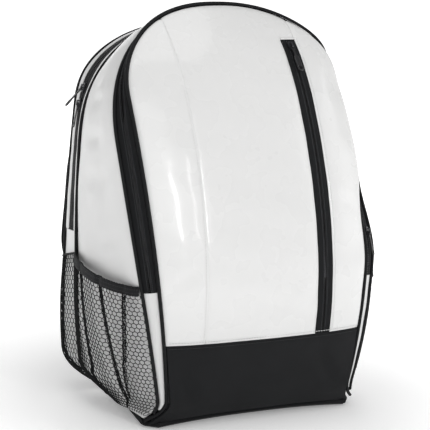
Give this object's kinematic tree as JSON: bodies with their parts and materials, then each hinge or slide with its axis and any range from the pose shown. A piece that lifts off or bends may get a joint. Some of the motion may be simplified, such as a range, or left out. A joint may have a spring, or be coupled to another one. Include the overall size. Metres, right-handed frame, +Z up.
{
  "type": "racket backpack",
  "caption": "Soft racket backpack: arched zip-down front flap, vertical zip pocket, net side pockets, padded shoulder straps and a haul loop.",
  "frame": {"origin": "middle of the flat base on the ground, on the plane halfway between the two sides", "axes": "+Z up, the front flap faces -Y, the shoulder straps face +Y, +X is the bag's own left-hand side when worn"},
  "size_m": [0.3572, 0.2905, 0.4719],
  "materials": {
    "black_cloth": "black woven cloth",
    "board": "stiffener board",
    "buckle": "black moulded plastic",
    "coated_cloth": "white coated cloth with a soft gloss",
    "foam": "black spacer mesh over foam",
    "lining": "grey lining",
    "net": "black knitted net",
    "piping": "black corded piping",
    "pull": "black coated pull",
    "side_cloth": "white coated cloth, a little duller",
    "slider": "dark coated die casting",
    "tape": "black woven zip tape",
    "teeth": "black zip teeth",
    "webbing": "black webbing"
  },
  "bodies": {
    "bag": {"back_pads": "foam", "back_panel": "foam", "back_piping": "piping", "bag_zip_tape": "tape", "bag_zip_teeth": "teeth", "base_board": "board", "base_panel": "black_cloth", "divider": "lining", "front_boot": "black_cloth", "front_piping": "piping", "haul_patch": "webbing", "lower_gusset_left": "side_cloth", "lower_gusset_right": "side_cloth", "lower_panel_centre": "coated_cloth", "lower_panel_left": "coated_cloth", "lower_panel_right": "coated_cloth", "main_gusset_front": "side_cloth", "main_gusset_left": "side_cloth", "main_gusset_rear": "side_cloth", "main_gusset_right": "side_cloth", "main_zip_tapes": "tape", "main_zip_teeth": "teeth", "net_binding_left": "webbing", "net_binding_right": "webbing", "net_pocket_left": "net", "net_pocket_right": "net", "pocket_zip_lower": "tape", "second_piping": "piping", "side_panel_left": "side_cloth", "side_panel_right": "side_cloth", "strap_yoke": "foam", "third_piping": "piping", "webbing_tabs": "webbing"},
    "front_flap": {"flap_panel_left": "coated_cloth", "flap_panel_right": "coated_cloth", "flap_panel_centre": "coated_cloth", "pocket_zip_tapes": "tape", "pocket_zip_teeth": "teeth", "pocket_lining": "lining", "flap_piping": "piping", "flap_zip_tape": "tape", "flap_zip_teeth": "teeth"},
    "arch_pull_lower": {"arch_pull_lower": "pull"},
    "arch_pull_upper": {"arch_pull_upper": "pull"},
    "arch_slider_lower": {"arch_slider_lower": "slider"},
    "arch_slider_upper": {"arch_slider_upper": "slider"},
    "haul_loop": {"haul_loop": "webbing"},
    "strap_left": {"ladder_lock_left": "buckle", "strap_pad_left": "foam", "strap_webbing_left": "webbing"},
    "strap_right": {"ladder_lock_right": "buckle", "strap_pad_right": "foam", "strap_webbing_right": "webbing"},
    "main_pull_lower": {"main_pull_lower": "pull"},
    "main_pull_upper": {"main_pull_upper": "pull"},
    "main_slider_lower": {"main_slider_lower": "slider"},
    "main_slider_upper": {"main_slider_upper": "slider"},
    "pocket_pull": {"pocket_pull": "pull"},
    "pocket_slider": {"pocket_slider": "slider"}
  },
  "joints": [
    {"name": "flap_fold", "type": "hinge", "parent": "bag", "child": "front_flap", "pos_m": [0, -0.11085, 0.159], "axis": [1, 0, 0], "range_deg": [0, 110]},
    {"name": "pocket_slider_travel", "type": "hinge", "parent": "front_flap", "child": "pocket_slider", "pos_m": [0.0752, 0.22672, 0.22173], "axis": [1, 0, 0], "range_deg": [0, 12.6]},
    {"name": "pocket_pull_hinge", "type": "hinge", "parent": "pocket_slider", "child": "pocket_pull", "pos_m": [0.07539, -0.00502, 0.42576], "axis": [-0.9974, -0.0539, 0.048], "range_deg": [0, 160]},
    {"name": "arch_slider_lower_travel", "type": "hinge", "parent": "bag", "child": "arch_slider_lower", "pos_m": [0.04612, -0.00311, 0.17037], "axis": [0.6208, 0.7569, -0.2043], "range_deg": [0, 13.32]},
    {"name": "arch_pull_lower_hinge", "type": "hinge", "parent": "arch_slider_lower", "child": "arch_pull_lower", "pos_m": [0.15282, -0.08067, 0.2115], "axis": [-0.8412, -0.5307, 0.1032], "range_deg": [0, 160]},
    {"name": "arch_slider_upper_travel", "type": "hinge", "parent": "bag", "child": "arch_slider_upper", "pos_m": [-0.13079, 0.25273, 0.16514], "axis": [-0.7614, -0.5974, 0.2516], "range_deg": [0, 6.63]},
    {"name": "arch_pull_upper_hinge", "type": "hinge", "parent": "arch_slider_upper", "child": "arch_pull_upper", "pos_m": [0.14742, -0.04693, 0.29614], "axis": [-0.7951, -0.5612, 0.2301], "range_deg": [0, 160]},
    {"name": "main_slider_lower_travel", "type": "hinge", "parent": "bag", "child": "main_slider_lower", "pos_m": [0.19287, -0.06179, 0.29452], "axis": [-0.42, -0.9058, -0.0553], "range_deg": [0, 6.56]},
    {"name": "main_pull_lower_hinge", "type": "hinge", "parent": "main_slider_lower", "child": "main_pull_lower", "pos_m": [-0.15327, 0.09503, 0.34674], "axis": [0.2633, 0.9618, 0.0751], "range_deg": [0, 60]},
    {"name": "main_slider_upper_travel", "type": "hinge", "parent": "bag", "child": "main_slider_upper", "pos_m": [-0.05679, 0.08782, 0.34208], "axis": [0.0753, 0.991, 0.111], "range_deg": [0, 23.86]},
    {"name": "main_pull_upper_hinge", "type": "hinge", "parent": "main_slider_upper", "child": "main_pull_upper", "pos_m": [-0.15002, 0.09263, 0.36583], "axis": [0.2125, 0.9745, 0.072], "range_deg": [0, 135]},
    {"name": "haul_loop_hinge", "type": "hinge", "parent": "bag", "child": "haul_loop", "pos_m": [0, 0.10982, 0.423], "axis": [1, 0, 0], "range_deg": [0, 150]},
    {"name": "strap_left_swing", "type": "hinge", "parent": "bag", "child": "strap_left", "pos_m": [-0.05, 0.13504, 0.3499], "axis": [-0.285, -0.0642, -0.9564], "range_deg": [-20, 20]},
    {"name": "strap_right_swing", "type": "hinge", "parent": "bag", "child": "strap_right", "pos_m": [0.05, 0.13504, 0.3499], "axis": [0.285, -0.0642, -0.9564], "range_deg": [-20, 20]}
  ],
  "couplings": [
    {"joint": "arch_slider_lower_travel", "follows": "flap_fold", "ratio": 0.121}
  ]
}
